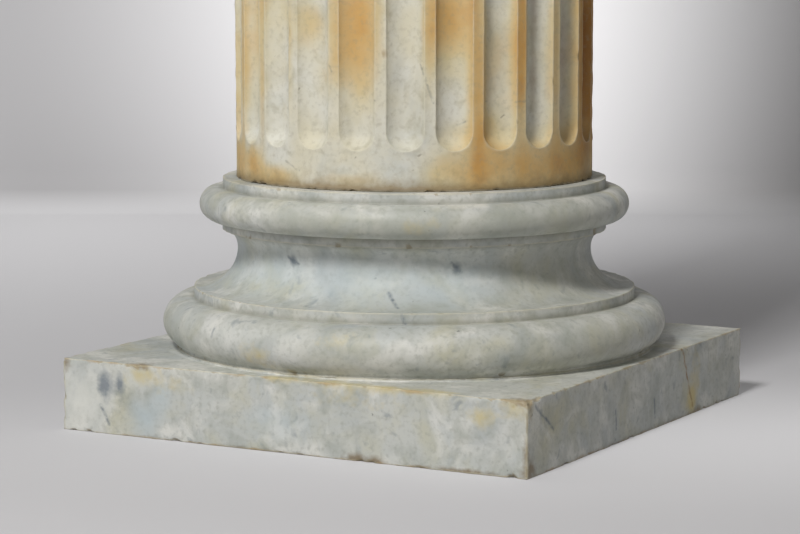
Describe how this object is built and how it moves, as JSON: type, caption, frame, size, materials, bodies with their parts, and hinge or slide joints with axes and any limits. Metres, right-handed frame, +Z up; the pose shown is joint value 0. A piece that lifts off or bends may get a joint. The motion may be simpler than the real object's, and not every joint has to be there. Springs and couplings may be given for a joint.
{
  "type": "doric column",
  "caption": "Freestanding fluted marble column: round shaft on a moulded base with a square plinth, and a plain capital with a flat square top to stand things on.",
  "frame": {"origin": "centre of the plinth's underside", "axes": "+Z up along the column's axis; the plinth's four sides face along X and Y"},
  "size_m": [0.4, 0.4, 1.15],
  "materials": {
    "base_marble": "honed, weathered",
    "shaft_marble": "honed, stained and worn",
    "capital_marble": "honed, weathered"
  },
  "bodies": {
    "root": {"base": "base_marble", "shaft": "shaft_marble", "capital": "capital_marble"}
  },
  "joints": []
}
